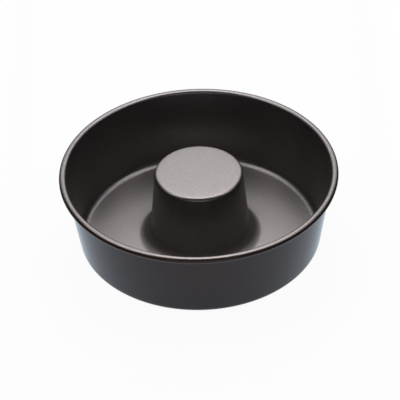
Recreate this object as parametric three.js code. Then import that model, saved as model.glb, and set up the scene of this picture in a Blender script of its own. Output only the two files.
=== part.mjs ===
// Savarin ring pan: a drawn steel pan with a closed centre tube, a rim rolled around a wire,
// and a non-stick film on each side of the sheet. Millimetres, +Z up, origin at the base's centre.

import * as THREE from "three";

// Overall sizes
const RIM_DIAMETER = 260; // over the rolled rim
const HEIGHT = 76.5; // from the table to the top of the rim
const BASE_FLAT_DIAMETER = 215.2; // the flat underside, out to the start of its rounded corner
const CORNER_RADIUS = 7.2; // outside, between base and wall

// Centre tube, measured on the food side
const TUBE_DROP = 3.0; // from the top of the rim down to the tube's flat top
const TUBE_TOP_DIAMETER = 82.4; // where the tube's wall line meets the level of its top
const TUBE_TAPER = THREE.MathUtils.degToRad(5.2);
const TUBE_EDGE_RADIUS = 3.2;
const FLARE_RADIUS = 12.5; // at the tube's foot

// Sheet, films and rolled rim
const SHEET = 1.0;
const FILM = 0.04;
const WIRE_DIAMETER = 3.4;
const WIRE_CLEARANCE = 0.16; // above and below the wire, inside the curl
const CURL_FLAT = 0.8; // on top of the curl and under it, between its two round sides
const TUCK_GAP = 0.3; // between the sheet's tucked-in edge and the wall
const FILM_LINE = THREE.MathUtils.degToRad(57); // tilt of the curl where its two films meet

// Facets
const AROUND = 48;
const EDGE_STEPS = 3;
const FLARE_STEPS = 4;
const CORNER_STEPS = 4;
const CURL_UP_STEPS = 3;
const CURL_OVER_STEPS = 2; // from the flat top to the films' meeting line
const CURL_DOWN_STEPS = 2; // on to the widest point
const CURL_UNDER_STEPS = 3; // on to the flat underside
const CURL_TUCK_STEPS = 2;
const WIRE_SIDES = 12;

// Depths below the food side at which one layer ends and the next begins
const FOOD_SIDE = 0;
const SHEET_TOP = FILM;
const SHEET_BACK = FILM + SHEET;
const OUTSIDE = FILM + SHEET + FILM;

const point = (r, z) => new THREE.Vector2(r, z);
const direction = (angle) => point(Math.cos(angle), Math.sin(angle));

// Tube: its wall's normal leans up by the taper, and its edge and flare are tangent to that wall
const tubeHeight = HEIGHT - TUBE_DROP;
const tubeNormal = direction(TUBE_TAPER);
const edgeInset = (TUBE_EDGE_RADIUS * (1 - tubeNormal.y)) / tubeNormal.x;
const edgeCentre = point(TUBE_TOP_DIAMETER / 2 - edgeInset, tubeHeight - TUBE_EDGE_RADIUS);
const flareHeight = OUTSIDE + FLARE_RADIUS;
const flareRise = (flareHeight - edgeCentre.y) * tubeNormal.y;
const flareReach = (TUBE_EDGE_RADIUS + FLARE_RADIUS - flareRise) / tubeNormal.x;
const flareCentre = point(edgeCentre.x + flareReach, flareHeight);

// Wall: the line that is tangent to the base's corner and, on the food side, to the curl's inner round
const beadRadius = WIRE_DIAMETER / 2 + WIRE_CLEARANCE + SHEET_BACK;
const cornerCentre = point(BASE_FLAT_DIAMETER / 2, CORNER_RADIUS);
const outerRound = point(RIM_DIAMETER / 2 - beadRadius, HEIGHT - beadRadius);
const innerRound = point(outerRound.x - CURL_FLAT, outerRound.y);
const cornerToCurl = innerRound.clone().sub(cornerCentre);
const tangentOffset = CORNER_RADIUS - OUTSIDE + beadRadius;
const wallLean = Math.acos(tangentOffset / cornerToCurl.length()) - cornerToCurl.angle();
const wallNormal = direction(-wallLean);
const wallUp = direction(Math.PI / 2 - wallLean);

// Curl: it turns outwards over the wire and stops one tuck gap short of the wall's outside
const tuckAngle = Math.acos((beadRadius - OUTSIDE - TUCK_GAP) / beadRadius);
const curlStart = Math.PI - wallLean;
const curlEnd = curlStart - (2 * Math.PI - tuckAngle);

// Points on an arc, both ends included
function arc(centre, radius, from, to, steps) {
  const angleAt = (i) => from + ((to - from) * i) / steps;
  const onArc = (_, i) => direction(angleAt(i)).multiplyScalar(radius).add(centre);
  return Array.from({ length: steps + 1 }, onArc);
}

// The sheet's section from the axis to the crevice under the rim, at one depth below the food side
function sectionToCrevice(depth) {
  const top = tubeHeight - depth;
  const edge = arc(edgeCentre, TUBE_EDGE_RADIUS - depth, Math.PI / 2, TUBE_TAPER, EDGE_STEPS);
  const flareFrom = Math.PI + TUBE_TAPER;
  const flare = arc(flareCentre, FLARE_RADIUS + depth, flareFrom, 1.5 * Math.PI, FLARE_STEPS);
  const cornerRadius = CORNER_RADIUS - OUTSIDE + depth;
  const corner = arc(cornerCentre, cornerRadius, -Math.PI / 2, -wallLean, CORNER_STEPS);
  const crevice = innerRound.clone();
  crevice.addScaledVector(wallNormal, depth - beadRadius);
  crevice.addScaledVector(wallUp, -beadRadius * Math.sin(tuckAngle));
  return [point(0, top), ...edge, ...flare, ...corner, crevice];
}

// The same section carried on over the top of the curl to the films' meeting line
function sectionToLine(depth) {
  const radius = beadRadius - depth;
  const up = arc(innerRound, radius, curlStart, Math.PI / 2, CURL_UP_STEPS);
  const over = arc(outerRound, radius, Math.PI / 2, FILM_LINE, CURL_OVER_STEPS);
  return [...sectionToCrevice(depth), ...up, ...over];
}

// The rest of the curl, from the films' meeting line to the sheet's tucked-in edge
function sectionFromLine(depth) {
  const radius = beadRadius - depth;
  const down = arc(outerRound, radius, FILM_LINE, 0, CURL_DOWN_STEPS);
  const under = arc(outerRound, radius, 0, -Math.PI / 2, CURL_UNDER_STEPS);
  const tuck = arc(innerRound, radius, -Math.PI / 2, curlEnd, CURL_TUCK_STEPS);
  return [...down, ...under.slice(1), ...tuck];
}

// The whole section of the sheet
function sectionToEdge(depth) {
  return [...sectionToLine(depth), ...sectionFromLine(depth).slice(1)];
}

// A solid of revolution about Z, from an outline that runs anticlockwise in the (r, z) plane
function turned(outline) {
  return new THREE.LatheGeometry(outline, AROUND).rotateX(Math.PI / 2);
}

// The outline of the layer between a section's near and far depths
function layer(section, near, far) {
  return [...section(far), ...section(near).reverse()];
}

// A film splits each facet along the diagonal that the sheet under it uses, so that their faces coincide
function film(outline) {
  const geometry = turned(outline);
  const corners = geometry.index.array;
  for (let q = 0; q < corners.length; q += 6) {
    const [a, b, d, c] = corners.slice(q, q + 4);
    corners.set([a, b, c, a, c, d], q);
  }
  return geometry;
}

// The film on the curl's outer side doesn't reach the axis, so its outline closes on itself
function rimFilm() {
  const outline = layer(sectionFromLine, FOOD_SIDE, SHEET_TOP);
  return film([...outline, outline[0]]);
}

function rimWire() {
  const centre = innerRound.clone().lerp(outerRound, 0.5);
  return turned(arc(centre, WIRE_DIAMETER / 2, 0, 2 * Math.PI, WIRE_SIDES));
}

const steel = new THREE.MeshStandardMaterial({ color: 0x8d8f92, roughness: 0.4, metalness: 1 });
const wireSteel = new THREE.MeshStandardMaterial({ color: 0xa3a6aa, roughness: 0.3, metalness: 1 });
const innerNonStick = new THREE.MeshStandardMaterial({ color: 0x2b2827, roughness: 0.4, metalness: 0 });
const outerNonStick = new THREE.MeshStandardMaterial({ color: 0x1f2022, roughness: 0.25, metalness: 0 });

function piece(name, geometry, material) {
  const mesh = new THREE.Mesh(geometry, material);
  mesh.name = name;
  return mesh;
}

const pan = new THREE.Group();
pan.add(piece("pan_body", turned(layer(sectionToEdge, SHEET_TOP, SHEET_BACK)), steel));
pan.add(piece("rim_wire", rimWire(), wireSteel));
pan.add(piece("inner_coating", film(layer(sectionToLine, FOOD_SIDE, SHEET_TOP)), innerNonStick));
pan.add(piece("outer_coating", film(layer(sectionToCrevice, SHEET_BACK, OUTSIDE)), outerNonStick));
pan.add(piece("rim_coating", rimFilm(), outerNonStick));

export default pan;
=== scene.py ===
"""Savarin ring pan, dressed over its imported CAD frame.

A drawn steel pan with a closed centre tube and a rim rolled around a wire. A satin non-stick film covers
the food side and the top of the rim, and a smoother one covers the outside. The file is laid out as a
Blender add-on and is run as a script: it loads the frame, builds one surface of revolution for each
piece, and sets up the floor, the lights and the camera.
"""

import math

import bpy
import numpy as np
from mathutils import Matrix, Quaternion, Vector


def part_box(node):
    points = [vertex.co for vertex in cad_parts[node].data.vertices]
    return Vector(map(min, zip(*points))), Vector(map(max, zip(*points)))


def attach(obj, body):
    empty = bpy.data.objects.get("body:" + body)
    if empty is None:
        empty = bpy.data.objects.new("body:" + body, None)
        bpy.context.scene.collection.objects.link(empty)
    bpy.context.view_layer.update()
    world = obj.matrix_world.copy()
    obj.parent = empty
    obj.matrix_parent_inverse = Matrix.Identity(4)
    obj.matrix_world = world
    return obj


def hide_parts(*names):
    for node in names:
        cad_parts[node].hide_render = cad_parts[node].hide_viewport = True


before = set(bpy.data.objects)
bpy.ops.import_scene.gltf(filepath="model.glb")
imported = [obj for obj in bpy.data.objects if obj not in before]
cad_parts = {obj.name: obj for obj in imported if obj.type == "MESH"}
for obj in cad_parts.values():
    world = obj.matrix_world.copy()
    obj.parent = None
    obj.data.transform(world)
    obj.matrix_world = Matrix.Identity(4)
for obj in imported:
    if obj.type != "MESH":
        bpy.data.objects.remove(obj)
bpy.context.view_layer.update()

bl_info = {
    "name": "Savarin ring pan",
    "version": (1, 0, 0),
    "blender": (4, 5, 0),
    "location": "View3D > Sidebar > Ring pan",
    "description": "Builds a non-stick ring cake pan over its CAD frame",
    "category": "Object",
}

BODY = "root"
MM = 0.001

# What the frame gives: the rim's reach and height, each layer's level at the base, and the wire's size
SHEET_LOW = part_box("pan_body")[0]
INSIDE_LOW, INSIDE_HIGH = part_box("inner_coating")
RIM_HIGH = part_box("rim_coating")[1]
WIRE_LOW, WIRE_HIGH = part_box("rim_wire")

# Steps around the axis, and along each stretch of the section
AROUND = 180
TOP_STEPS = 8
EDGE_STEPS = 12
TUBE_STEPS = 10
FLARE_STEPS = 18
FLOOR_STEPS = 8
CORNER_STEPS = 14
WALL_STEPS = 12
CREVICE_STEPS = 2
CURL_UP_STEPS = 14
CURL_OVER_STEPS = 6
CURL_DOWN_STEPS = 8
CURL_UNDER_STEPS = 12
CURL_TUCK_STEPS = 6
WIRE_STEPS = 24

# Edges that turn by more than this stay crisp under smooth shading
SHARP_ANGLE = math.radians(40)

# Softboxes: degrees round from the back towards the right, degrees up, width, height and brightness
SOFTBOXES = {
    "key": (2, 62, 0.42, 0.54, 4.6),
    "low_back": (0, 31, 1.40, 0.40, 1.2),
    "left_back": (-45, 58, 0.38, 0.45, 0.9),
    "right_back": (45, 58, 0.38, 0.45, 0.8),
    "left": (-90, 57, 0.38, 0.45, 2.5),
    "right": (90, 57, 0.38, 0.45, 2.3),
    "front": (180, 10, 0.80, 0.28, 1.0),
}
SOFTBOX_REACH = 0.9
SOFTBOX_AIM = (0, 0, 0.04)

# The paper's long edges: from full paper to bare table, in metres to either side of the pan's axis
PAPER_EDGE = (0.16, 0.22)

# The floor's rings of points, and its drop below the pan, which keeps the two from sharing a plane
FLOOR_RADII = (0.5, 1.5, 4.0, 6.0)
FLOOR_DROP = 0.2 * MM

# The point that the camera's distance is measured from, the one that it looks at, and its sensor in mm
CAMERA_MIDDLE = (0, 0, 0.035)
CAMERA_AIM = (0.00046, 0, 0.03985)
SENSOR_WIDTH = 36

# Full white, for the floor's glow and for the surroundings
WHITE = (1.0, 1.0, 1.0, 1.0)

# A Mix node has sockets for each kind of value, so those for colours are picked by number
MIX_SHARE = 0
MIX_FIRST = 6
MIX_SECOND = 7
MIX_RESULT = 2


def linear(hex_colour):
    """The linear RGB values of an sRGB hex colour such as "2b2827"."""
    srgb = np.array([int(hex_colour[i : i + 2], 16) for i in (0, 2, 4)]) / 255
    low = srgb / 12.92
    high = ((srgb + 0.055) / 1.055) ** 2.4
    return tuple(np.where(srgb <= 0.04045, low, high).tolist())


def length(name, description, default):
    """A length property in metres."""
    return bpy.props.FloatProperty(
        name=name, description=description, default=default, min=0.0, unit="LENGTH", precision=5
    )


def colour(name, description, hex_colour):
    """A colour property with an sRGB hex default."""
    return bpy.props.FloatVectorProperty(
        name=name, description=description, default=linear(hex_colour), min=0.0, max=1.0, subtype="COLOR"
    )


class RingPanSizes(bpy.types.PropertyGroup):
    """The pan's sizes, the same as in its CAD source"""

    rim_diameter: length("Rim", "Diameter over the rolled rim", 2 * RIM_HIGH.x)
    height: length("Height", "From the table to the top of the rim", INSIDE_HIGH.z)
    base_flat: length("Flat base", "Diameter of the flat underside, out to its rounded corner", 215.2 * MM)
    corner_radius: length("Corner", "Outside radius between the base and the wall", 7.2 * MM)
    tube_drop: length("Tube drop", "From the top of the rim down to the tube's flat top", 3 * MM)
    tube_top: length("Tube", "Diameter at which the tube's wall line meets its top", 82.4 * MM)
    tube_edge: length("Tube edge", "Radius around the tube's top", 3.2 * MM)
    flare: length("Flare", "Radius at the tube's foot", 12.5 * MM)
    film: length("Film", "Thickness of each non-stick film", SHEET_LOW.z)
    sheet: length("Sheet", "Thickness of the steel", INSIDE_LOW.z - SHEET_LOW.z)
    wire: length("Wire", "Diameter of the wire in the rim", WIRE_HIGH.z - WIRE_LOW.z)
    clearance: length("Clearance", "Room above and below the wire inside the curl", 0.16 * MM)
    curl_flat: length("Curl flat", "Flat on top of the curl and under it", 0.8 * MM)
    tuck_gap: length("Tuck gap", "Between the sheet's tucked-in edge and the wall", 0.3 * MM)
    tube_taper: bpy.props.FloatProperty(
        name="Tube taper",
        description="Lean of the tube's wall",
        default=math.radians(5.2),
        subtype="ANGLE",
    )
    film_line: bpy.props.FloatProperty(
        name="Film line",
        description="Tilt of the curl where its two films meet",
        default=math.radians(57),
        subtype="ANGLE",
    )


class RingPanFinish(bpy.types.PropertyGroup):
    """The pan's colours"""

    inside: colour("Inside", "Metal-filled film on the food side", "7b7676")
    fleck: colour("Flecks", "Brighter clusters of flake in that film", "878282")
    outside: colour("Outside", "Film on the outside of the pan", "3a2922")
    outside_haze: colour("Haze", "Paler haze in the film on the outside", "41302a")
    sheet_steel: colour("Sheet steel", "Bare edge of the sheet", "a8a9ab")
    wire_steel: colour("Wire steel", "Wire in the rim", "bcbdbf")
    paper: colour("Paper", "Floor that the pan stands on", "f4f6f8")
    table: colour("Table", "Surface around the paper", "3a3a3a")
    paper_reflected: colour("Paper in reflections", "Cooler white that the film reflects", "e4f1ff")


class RingPanStage(bpy.types.PropertyGroup):
    """The camera and the lights"""

    distance: length("Distance", "From the camera to the middle of the pan", 1.885)
    elevation: bpy.props.FloatProperty(
        name="Elevation",
        description="Height of the camera above the table, as an angle",
        default=math.radians(39),
        subtype="ANGLE",
    )
    roll: bpy.props.FloatProperty(
        name="Roll", description="Tilt of the camera's frame", default=math.radians(-1.85), subtype="ANGLE"
    )
    lens: bpy.props.FloatProperty(name="Lens", description="Focal length in millimetres", default=180)
    light: bpy.props.FloatProperty(
        name="Light", description="Brightness of all the softboxes together", default=1.0, min=0.0
    )
    fill: bpy.props.FloatProperty(
        name="Fill", description="Brightness of the plain grey surroundings", default=0.03, min=0.0
    )


def pair(radius, height):
    """One point of the section: a radius from the axis and a height."""
    return np.array((radius, height))


def heading(angle):
    """The unit direction at an angle in the section's plane."""
    return pair(math.cos(angle), math.sin(angle))


def arc(centre, radius, start, end, steps):
    """Points at centre + radius (cos a, sin a), for steps + 1 even angles a from start to end."""
    angle = np.linspace(start, end, steps + 1)
    return centre + radius * np.column_stack((np.cos(angle), np.sin(angle)))


def between(start, end, steps):
    """The points that split the straight line from start to end into even steps, without its ends."""
    share = np.arange(1, steps)[:, None] / steps
    return start + (end - start) * share


class PanSection:
    """The pan's section in the (r, z) half plane, as curves at one depth below the food side.

    The tube's wall is the straight line that is tangent to the edge round its top and to the flare at its
    foot. The pan's wall is the line that is tangent to the base's corner and, on the food side, to the inner
    one of the two rounds that make up the rim's curl. All the curves at other depths are parallel to these.
    """

    def __init__(self, sizes):
        self.film = sizes.film
        self.back = sizes.film + sizes.sheet
        self.outside = sizes.film + sizes.sheet + sizes.film
        self.wire_radius = sizes.wire / 2
        self.taper = sizes.tube_taper

        self.tube_height = sizes.height - sizes.tube_drop
        lean_cos = math.cos(self.taper)
        lean_sin = math.sin(self.taper)
        inset = sizes.tube_edge * (1 - lean_sin) / lean_cos
        self.edge_radius = sizes.tube_edge
        self.edge_centre = pair(sizes.tube_top / 2 - inset, self.tube_height - sizes.tube_edge)
        self.flare_radius = sizes.flare
        flare_height = self.outside + sizes.flare
        rise = (flare_height - self.edge_centre[1]) * lean_sin
        reach = (sizes.tube_edge + sizes.flare - rise) / lean_cos
        self.flare_centre = pair(self.edge_centre[0] + reach, flare_height)

        self.bead_radius = self.wire_radius + sizes.clearance + self.back
        self.outer_round = pair(sizes.rim_diameter / 2 - self.bead_radius, sizes.height - self.bead_radius)
        self.inner_round = self.outer_round - pair(sizes.curl_flat, 0)
        self.film_line = sizes.film_line
        self.corner_radius = sizes.corner_radius
        self.corner_centre = pair(sizes.base_flat / 2, sizes.corner_radius)
        run = self.inner_round - self.corner_centre
        offset = sizes.corner_radius - self.outside + self.bead_radius
        self.wall_lean = math.acos(offset / np.hypot(*run)) - math.atan2(run[1], run[0])
        self.tuck = math.acos((self.bead_radius - self.outside - sizes.tuck_gap) / self.bead_radius)
        self.curl_start = math.pi - self.wall_lean
        self.curl_end = self.curl_start - (2 * math.pi - self.tuck)

    def crevice(self, depth):
        """The point on the wall that the sheet's tucked-in edge stops at, at one depth."""
        across = heading(-self.wall_lean) * (depth - self.bead_radius)
        down = heading(math.pi / 2 - self.wall_lean) * self.bead_radius * math.sin(self.tuck)
        return self.inner_round + across - down

    def to_crevice(self, depth):
        """From the axis over the tube, floor and wall to the crevice under the rim, at one depth."""
        axis = pair(0, self.tube_height - depth)
        edge = arc(self.edge_centre, self.edge_radius - depth, math.pi / 2, self.taper, EDGE_STEPS)
        flare_from = math.pi + self.taper
        flare = arc(self.flare_centre, self.flare_radius + depth, flare_from, 1.5 * math.pi, FLARE_STEPS)
        corner_radius = self.corner_radius - self.outside + depth
        corner = arc(self.corner_centre, corner_radius, -math.pi / 2, -self.wall_lean, CORNER_STEPS)
        crevice = self.crevice(depth)
        return np.vstack((
            axis,
            between(axis, edge[0], TOP_STEPS),
            edge,
            between(edge[-1], flare[0], TUBE_STEPS),
            flare,
            between(flare[-1], corner[0], FLOOR_STEPS),
            corner,
            between(corner[-1], crevice, WALL_STEPS),
            crevice,
        ))

    def to_line(self, depth):
        """The same section carried on over the top of the curl to the films' meeting line."""
        radius = self.bead_radius - depth
        up = arc(self.inner_round, radius, self.curl_start, math.pi / 2, CURL_UP_STEPS)
        over = arc(self.outer_round, radius, math.pi / 2, self.film_line, CURL_OVER_STEPS)
        start = self.to_crevice(depth)
        return np.vstack((start, between(start[-1], up[0], CREVICE_STEPS), up, over))

    def from_line(self, depth):
        """The rest of the curl, from the films' meeting line to the sheet's tucked-in edge."""
        radius = self.bead_radius - depth
        down = arc(self.outer_round, radius, self.film_line, 0, CURL_DOWN_STEPS)
        under = arc(self.outer_round, radius, 0, -math.pi / 2, CURL_UNDER_STEPS)
        tuck = arc(self.inner_round, radius, -math.pi / 2, self.curl_end, CURL_TUCK_STEPS)
        return np.vstack((down, under[1:], tuck))

    def to_edge(self, depth):
        """The whole section of the sheet."""
        return np.vstack((self.to_line(depth), self.from_line(depth)[1:]))


def layer(section, near, far):
    """The outline of one layer of the wall: along the section at its far depth, and back at its near one."""
    return np.vstack((section(far), section(near)[::-1]))


def revolved(outline):
    """The points of an outline turned about Z, and the four-cornered faces between its rows.

    Point (i, j) stands at (r cos a, r sin a, z) for the outline's point i = (r, z) and a = 2 pi j / AROUND.
    Row i meets row i + 1, and the last row meets the first. An outline that runs anticlockwise in the
    (r, z) half plane gives faces that point outwards. The returned indices are a grid of (row, step).
    """
    angle = np.arange(AROUND) * (2 * math.pi / AROUND)
    across = outline[:, :1, None] * np.stack((np.cos(angle), np.sin(angle)), axis=-1)
    up = np.broadcast_to(outline[:, 1:, None], (len(outline), AROUND, 1))
    points = np.concatenate((across, up), axis=2).reshape(-1, 3)
    index = np.arange(len(points)).reshape(len(outline), AROUND)
    beside = np.roll(index, -1, axis=1)
    quads = np.stack((index, beside, np.roll(beside, -1, axis=0), np.roll(index, -1, axis=0)), axis=-1)
    return points, index, quads


def hoop(outline):
    """A closed ring: an outline that goes round once, turned about Z."""
    points, _, quads = revolved(outline)
    return points, quads.reshape(-1, 4).tolist()


def shell(outline):
    """A closed shell: an outline that starts and ends on the axis, turned about Z.

    Each end of the outline becomes one point on the axis with a fan of triangles around it.
    """
    points, index, quads = revolved(outline[1:-1])
    beside = np.roll(index, -1, axis=1)
    start = np.full(AROUND, len(points))
    end = start + 1
    start_fan = np.column_stack((start, beside[0], index[0]))
    end_fan = np.column_stack((end, index[-1], beside[-1]))
    poles = np.column_stack((np.zeros(2), np.zeros(2), outline[[0, -1], 1]))
    faces = quads[:-1].reshape(-1, 4).tolist() + start_fan.tolist() + end_fan.tolist()
    return np.vstack((points, poles)), faces


def make_piece(name, surface, material, node):
    """Puts a surface into a new smooth object that stands for its CAD node and rides on the pan's body."""
    points, faces = surface
    mesh = bpy.data.meshes.new(name)
    mesh.from_pydata(points.tolist(), [], faces)
    mesh.shade_smooth()
    mesh.set_sharp_from_angle(angle=SHARP_ANGLE)
    mesh.materials.append(material)
    piece = bpy.data.objects.new(name, mesh)
    bpy.context.scene.collection.objects.link(piece)
    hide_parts(node)
    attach(piece, BODY)
    return piece


def new_tree(name):
    """A new material and its empty node tree."""
    material = bpy.data.materials.new(name)
    material.use_nodes = True
    material.node_tree.nodes.clear()
    return material, material.node_tree


def add(tree, kind, inputs, **settings):
    """Adds a node with its settings, and gives each of its inputs a value or a link from an output."""
    node = tree.nodes.new(kind)
    for name, value in settings.items():
        setattr(node, name, value)
    for name, value in inputs.items():
        if isinstance(value, bpy.types.NodeSocket):
            tree.links.new(value, node.inputs[name])
        else:
            node.inputs[name].default_value = value
    return node


def opaque(rgb):
    """A node colour from an RGB property."""
    return (*rgb, 1.0)


def satin_non_stick(finish):
    """Metal-filled non-stick film, sprayed on and baked, on the food side and the top of the rim.

    Fine metal flakes lie flat in it, so it shines like a dark satin metal and picks up a warm tint where
    light bounces from wall to wall. The sprayed drops leave a faint orange peel, and clusters of flakes a
    fine speckle.
    """
    material, tree = new_tree("satin_non_stick")
    place = add(tree, "ShaderNodeTexCoord", {}).outputs["Object"]
    # Flakes are 0.05 mm in the real film, and their clusters are drawn 1.2 mm wide so that they show
    fleck_scale = 1 / (1.2 * MM)
    flecks = add(tree, "ShaderNodeTexNoise", {"Vector": place, "Scale": fleck_scale, "Detail": 2.0})
    # Spray passes vary the film over about 40 mm
    spray_scale = 1 / (40 * MM)
    spray = add(tree, "ShaderNodeTexNoise", {"Vector": place, "Scale": spray_scale, "Detail": 3.0})
    # Orange peel has drops 1.5 mm apart
    peel_scale = 1 / (1.5 * MM)
    peel = add(tree, "ShaderNodeTexNoise", {"Vector": place, "Scale": peel_scale, "Detail": 1.0})

    fleck_share = add(
        tree,
        "ShaderNodeMapRange",
        {"Value": flecks.outputs["Fac"], "From Min": 0.35, "From Max": 0.65},
    )
    body = add(
        tree,
        "ShaderNodeMix",
        {
            MIX_SHARE: fleck_share.outputs["Result"],
            MIX_FIRST: opaque(finish.inside),
            MIX_SECOND: opaque(finish.fleck),
        },
        data_type="RGBA",
    )
    mixed = add(
        tree,
        "ShaderNodeMath",
        {0: flecks.outputs["Fac"], 1: spray.outputs["Fac"]},
        operation="ADD",
    )
    roughness = add(
        tree,
        "ShaderNodeMapRange",
        {"Value": mixed.outputs[0], "From Min": 0.6, "From Max": 1.4, "To Min": 0.32, "To Max": 0.38},
    )
    bump = add(
        tree,
        "ShaderNodeBump",
        {"Height": peel.outputs["Fac"], "Strength": 0.5, "Distance": 0.02 * MM},
    )
    shader = add(
        tree,
        "ShaderNodeBsdfPrincipled",
        {
            "Base Color": body.outputs[MIX_RESULT],
            "Metallic": 0.97,
            "Roughness": roughness.outputs["Result"],
            "Normal": bump.outputs["Normal"],
        },
    )
    add(tree, "ShaderNodeOutputMaterial", {"Surface": shader.outputs["BSDF"]})
    return material


def smooth_non_stick(finish):
    """Unfilled fluoropolymer non-stick film, sprayed on and baked, on the outside.

    It has a low refractive index, so it looks nearly black from the front and only shines at a glance.
    """
    material, tree = new_tree("smooth_non_stick")
    place = add(tree, "ShaderNodeTexCoord", {}).outputs["Object"]
    # Haze from the oven varies over about 15 mm, and orange peel has drops 2 mm apart
    haze_scale = 1 / (15 * MM)
    haze = add(tree, "ShaderNodeTexNoise", {"Vector": place, "Scale": haze_scale, "Detail": 4.0})
    peel_scale = 1 / (2 * MM)
    peel = add(tree, "ShaderNodeTexNoise", {"Vector": place, "Scale": peel_scale, "Detail": 1.0})
    body = add(
        tree,
        "ShaderNodeMix",
        {
            MIX_SHARE: haze.outputs["Fac"],
            MIX_FIRST: opaque(finish.outside),
            MIX_SECOND: opaque(finish.outside_haze),
        },
        data_type="RGBA",
    )
    roughness = add(
        tree,
        "ShaderNodeMapRange",
        {"Value": haze.outputs["Fac"], "From Min": 0.3, "From Max": 0.7, "To Min": 0.06, "To Max": 0.1},
    )
    bump = add(
        tree,
        "ShaderNodeBump",
        {"Height": peel.outputs["Fac"], "Strength": 0.1, "Distance": 0.02 * MM},
    )
    shader = add(
        tree,
        "ShaderNodeBsdfPrincipled",
        {
            "Base Color": body.outputs[MIX_RESULT],
            "Roughness": roughness.outputs["Result"],
            "Normal": bump.outputs["Normal"],
            "IOR": 1.35,
        },
    )
    add(tree, "ShaderNodeOutputMaterial", {"Surface": shader.outputs["BSDF"]})
    return material


def drawn_steel(name, finish_colour, grain, roughness_range):
    """Drawn low-carbon steel: a bright metal with fine lines along the way it was drawn.

    The lines lie in rings around the pan's axis, so the grain is read from the height and from the distance
    to the base's centre, which stay the same all the way round.
    """
    material, tree = new_tree(name)
    place = add(tree, "ShaderNodeTexCoord", {}).outputs["Object"]
    level = add(tree, "ShaderNodeSeparateXYZ", {"Vector": place})
    reach = add(tree, "ShaderNodeVectorMath", {0: place}, operation="LENGTH")
    rings = add(tree, "ShaderNodeCombineXYZ", {"X": reach.outputs["Value"], "Z": level.outputs["Z"]})
    lines = add(tree, "ShaderNodeTexNoise", {"Vector": rings.outputs[0], "Scale": 1 / grain, "Detail": 2.0})
    low, high = roughness_range
    roughness = add(
        tree,
        "ShaderNodeMapRange",
        {"Value": lines.outputs["Fac"], "From Min": 0.3, "From Max": 0.7, "To Min": low, "To Max": high},
    )
    bump = add(
        tree,
        "ShaderNodeBump",
        {"Height": lines.outputs["Fac"], "Strength": 0.3, "Distance": 0.01 * MM},
    )
    shader = add(
        tree,
        "ShaderNodeBsdfPrincipled",
        {
            "Base Color": opaque(finish_colour),
            "Metallic": 1.0,
            "Roughness": roughness.outputs["Result"],
            "Normal": bump.outputs["Normal"],
        },
    )
    add(tree, "ShaderNodeOutputMaterial", {"Surface": shader.outputs["BSDF"]})
    return material


def white_paper(finish):
    """A strip of matt white paper on a dark table, which the camera sees as pure white all over.

    The strip runs along Y, towards the camera and away from it. For camera rays the whole floor glows at a
    strength of 1, with a small diffuse share on the paper that keeps the pan's shadow. Glossy and
    transmission rays see that glow on the paper alone.
    """
    material, tree = new_tree("white_paper")
    path = add(tree, "ShaderNodeLightPath", {})
    place = add(tree, "ShaderNodeTexCoord", {}).outputs["Object"]
    axes = add(tree, "ShaderNodeSeparateXYZ", {"Vector": place})
    aside = add(tree, "ShaderNodeMath", {0: axes.outputs["X"]}, operation="ABSOLUTE").outputs[0]

    def towards_edge(inside, outside):
        """A value that changes from the paper to the table beside it."""
        reach = {"From Min": PAPER_EDGE[0], "From Max": PAPER_EDGE[1], "To Min": inside, "To Max": outside}
        return add(tree, "ShaderNodeMapRange", {"Value": aside, **reach}).outputs["Result"]

    seen = add(
        tree,
        "ShaderNodeMath",
        {0: path.outputs["Is Camera Ray"], 1: towards_edge(0.95, 1.0)},
        operation="MULTIPLY",
    )
    mirrored = add(
        tree,
        "ShaderNodeMath",
        {0: path.outputs["Is Glossy Ray"], 1: path.outputs["Is Transmission Ray"]},
        operation="MAXIMUM",
    )
    mirrored = add(
        tree,
        "ShaderNodeMath",
        {0: mirrored.outputs[0], 1: towards_edge(0.95, 0.0)},
        operation="MULTIPLY",
    )
    share = add(tree, "ShaderNodeMath", {0: seen.outputs[0], 1: mirrored.outputs[0]}, operation="MAXIMUM")
    # Paper fibres lie about 2 mm apart
    fibre_scale = 1 / (2 * MM)
    fibres = add(tree, "ShaderNodeTexNoise", {"Vector": place, "Scale": fibre_scale, "Detail": 2.0})
    bump = add(
        tree,
        "ShaderNodeBump",
        {"Height": fibres.outputs["Fac"], "Strength": 0.2, "Distance": 0.05 * MM},
    )
    surface = add(
        tree,
        "ShaderNodeMix",
        {
            MIX_SHARE: towards_edge(0.0, 1.0),
            MIX_FIRST: opaque(finish.paper),
            MIX_SECOND: opaque(finish.table),
        },
        data_type="RGBA",
    )
    paper = add(
        tree,
        "ShaderNodeBsdfDiffuse",
        {"Color": surface.outputs[MIX_RESULT], "Normal": bump.outputs["Normal"]},
    )
    tint = add(
        tree,
        "ShaderNodeMix",
        {
            MIX_SHARE: path.outputs["Is Camera Ray"],
            MIX_FIRST: opaque(finish.paper_reflected),
            MIX_SECOND: WHITE,
        },
        data_type="RGBA",
    )
    glow = add(tree, "ShaderNodeEmission", {"Color": tint.outputs[MIX_RESULT], "Strength": 1.0})
    mixed = add(
        tree,
        "ShaderNodeMixShader",
        {0: share.outputs[0], 1: paper.outputs["BSDF"], 2: glow.outputs["Emission"]},
    )
    add(tree, "ShaderNodeOutputMaterial", {"Surface": mixed.outputs["Shader"]})
    return material


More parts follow.
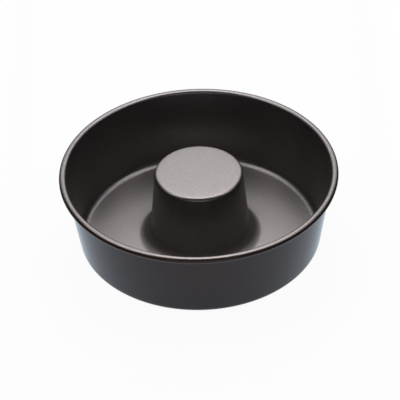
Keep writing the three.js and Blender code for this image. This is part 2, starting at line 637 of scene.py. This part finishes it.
class RINGPAN_OT_pan_body(bpy.types.Operator):
    """Builds the drawn steel sheet: base, wall, tube and curl in one"""

    bl_idname = "ring_pan.pan_body"
    bl_label = "Steel sheet"

    def execute(self, context):
        section = PanSection(context.scene.ring_pan_sizes)
        finish = context.scene.ring_pan_finish
        outline = layer(section.to_edge, section.film, section.back)
        steel = drawn_steel(
            "drawn_sheet_steel", finish.sheet_steel, grain=0.4 * MM, roughness_range=(0.3, 0.42)
        )
        make_piece("steel_sheet", shell(outline), steel, "pan_body")
        return {"FINISHED"}


class RINGPAN_OT_rim_wire(bpy.types.Operator):
    """Builds the wire hoop inside the rolled rim"""

    bl_idname = "ring_pan.rim_wire"
    bl_label = "Rim wire"

    def execute(self, context):
        section = PanSection(context.scene.ring_pan_sizes)
        finish = context.scene.ring_pan_finish
        middle = (section.inner_round + section.outer_round) / 2
        turn = arc(middle, section.wire_radius, 0, 2 * math.pi, WIRE_STEPS)
        steel = drawn_steel(
            "bright_drawn_wire", finish.wire_steel, grain=0.3 * MM, roughness_range=(0.2, 0.3)
        )
        make_piece("steel_rim_wire", hoop(turn[:-1]), steel, "rim_wire")
        return {"FINISHED"}


class RINGPAN_OT_inner_coating(bpy.types.Operator):
    """Builds the non-stick film on the food side and over the top of the rim"""

    bl_idname = "ring_pan.inner_coating"
    bl_label = "Inner film"

    def execute(self, context):
        section = PanSection(context.scene.ring_pan_sizes)
        outline = layer(section.to_line, 0, section.film)
        film = satin_non_stick(context.scene.ring_pan_finish)
        make_piece("inner_film", shell(outline), film, "inner_coating")
        return {"FINISHED"}


class RINGPAN_OT_outer_coating(bpy.types.Operator):
    """Builds the non-stick film on the outside: up to the crevice under the rim, and on the rim itself"""

    bl_idname = "ring_pan.outer_coating"
    bl_label = "Outer film"

    def execute(self, context):
        section = PanSection(context.scene.ring_pan_sizes)
        outline = layer(section.to_crevice, section.back, section.outside)
        film = smooth_non_stick(context.scene.ring_pan_finish)
        make_piece("outer_film", shell(outline), film, "outer_coating")
        rim = layer(section.from_line, 0, section.film)
        make_piece("rim_film", hoop(rim), film, "rim_coating")
        return {"FINISHED"}


class RINGPAN_OT_stage(bpy.types.Operator):
    """Sets up the floor, the softboxes, the surroundings and the camera"""

    bl_idname = "ring_pan.stage"
    bl_label = "Stage"

    def execute(self, context):
        scene = context.scene
        stage = scene.ring_pan_stage
        scene.view_settings.view_transform = "Standard"
        make_floor(scene)
        for name in SOFTBOXES:
            make_softbox(scene, name, stage.light)
        make_surroundings(scene, stage)
        make_camera(scene, stage)
        return {"FINISHED"}


def make_floor(scene):
    """A round floor just under the pan: rings of points at growing radii around the origin.

    The first ring bounds one flat face, and quads fill the bands from each ring to the next.
    """
    reach = np.array(FLOOR_RADII)
    angle = np.arange(AROUND) * (2 * math.pi / AROUND)
    across = reach[:, None, None] * np.stack((np.cos(angle), np.sin(angle)), axis=-1)
    level = np.full((len(reach), AROUND, 1), -FLOOR_DROP)
    points = np.concatenate((across, level), axis=2).reshape(-1, 3)
    index = np.arange(len(points)).reshape(len(reach), AROUND)
    beside = np.roll(index, -1, axis=1)
    quads = np.stack((index[:-1], index[1:], beside[1:], beside[:-1]), axis=-1)
    mesh = bpy.data.meshes.new("paper_floor")
    mesh.from_pydata(points.tolist(), [], [index[0].tolist()] + quads.reshape(-1, 4).tolist())
    mesh.materials.append(white_paper(scene.ring_pan_finish))
    floor = bpy.data.objects.new("paper_floor", mesh)
    scene.collection.objects.link(floor)


def make_softbox(scene, name, light):
    """A softbox that faces the pan, with a power of brightness times pi times its area."""
    azimuth, elevation, width, height, brightness = SOFTBOXES[name]
    aim = Vector(SOFTBOX_AIM)
    turn = math.radians(azimuth)
    lift = math.radians(elevation)
    away = Vector((math.sin(turn) * math.cos(lift), math.cos(turn) * math.cos(lift), math.sin(lift)))
    lamp = bpy.data.lights.new(name + "_softbox", "AREA")
    lamp.shape = "RECTANGLE"
    lamp.size = width
    lamp.size_y = height
    lamp.energy = light * brightness * math.pi * width * height
    softbox = bpy.data.objects.new(name + "_softbox", lamp)
    softbox.location = aim + away * SOFTBOX_REACH
    softbox.rotation_mode = "QUATERNION"
    softbox.rotation_quaternion = (-away).to_track_quat("-Z", "Y")
    softbox.visible_camera = False
    scene.collection.objects.link(softbox)


def make_surroundings(scene, stage):
    """A plain grey room all round."""
    world = bpy.data.worlds.new("grey_room")
    world.use_nodes = True
    tree = world.node_tree
    tree.nodes.clear()
    grey = add(tree, "ShaderNodeBackground", {"Color": WHITE, "Strength": stage.fill})
    add(tree, "ShaderNodeOutputWorld", {"Surface": grey.outputs["Background"]})
    scene.world = world


def make_camera(scene, stage):
    """A long lens that looks along +Y and down on the pan, a little rolled."""
    middle = Vector(CAMERA_MIDDLE)
    away = Vector((0, -math.cos(stage.elevation), math.sin(stage.elevation)))
    aim = Vector(CAMERA_AIM)
    data = bpy.data.cameras.new("camera")
    data.lens = stage.lens
    data.sensor_width = SENSOR_WIDTH
    camera = bpy.data.objects.new("camera", data)
    camera.location = middle + away * stage.distance
    look = (aim - camera.location).to_track_quat("-Z", "Y")
    camera.rotation_mode = "QUATERNION"
    camera.rotation_quaternion = look @ Quaternion((0, 0, 1), stage.roll)
    scene.collection.objects.link(camera)
    scene.camera = camera


GROUPS = {
    "ring_pan_sizes": RingPanSizes,
    "ring_pan_finish": RingPanFinish,
    "ring_pan_stage": RingPanStage,
}
OPERATORS = (
    RINGPAN_OT_pan_body,
    RINGPAN_OT_rim_wire,
    RINGPAN_OT_inner_coating,
    RINGPAN_OT_outer_coating,
    RINGPAN_OT_stage,
)


class RINGPAN_PT_sidebar(bpy.types.Panel):
    """Lists the pan's sizes, colours and pieces"""

    bl_idname = "RINGPAN_PT_sidebar"
    bl_label = "Ring pan"
    bl_space_type = "VIEW_3D"
    bl_region_type = "UI"
    bl_category = "Ring pan"

    def draw(self, context):
        for name, group in GROUPS.items():
            box = self.layout.box()
            for prop in group.__annotations__:
                box.prop(getattr(context.scene, name), prop)
        for operator in OPERATORS:
            self.layout.operator(operator.bl_idname)


def register():
    """Adds the classes, and one of each property group to every scene."""
    for name, group in GROUPS.items():
        bpy.utils.register_class(group)
        setattr(bpy.types.Scene, name, bpy.props.PointerProperty(type=group))
    for operator in OPERATORS:
        bpy.utils.register_class(operator)
    bpy.utils.register_class(RINGPAN_PT_sidebar)


def unregister():
    """Takes away what register added."""
    bpy.utils.unregister_class(RINGPAN_PT_sidebar)
    for operator in reversed(OPERATORS):
        bpy.utils.unregister_class(operator)
    for name, group in GROUPS.items():
        delattr(bpy.types.Scene, name)
        bpy.utils.unregister_class(group)


def main():
    """Builds every piece and the stage."""
    register()
    bpy.ops.ring_pan.pan_body()
    bpy.ops.ring_pan.rim_wire()
    bpy.ops.ring_pan.inner_coating()
    bpy.ops.ring_pan.outer_coating()
    bpy.ops.ring_pan.stage()


if __name__ == "__main__":
    main()
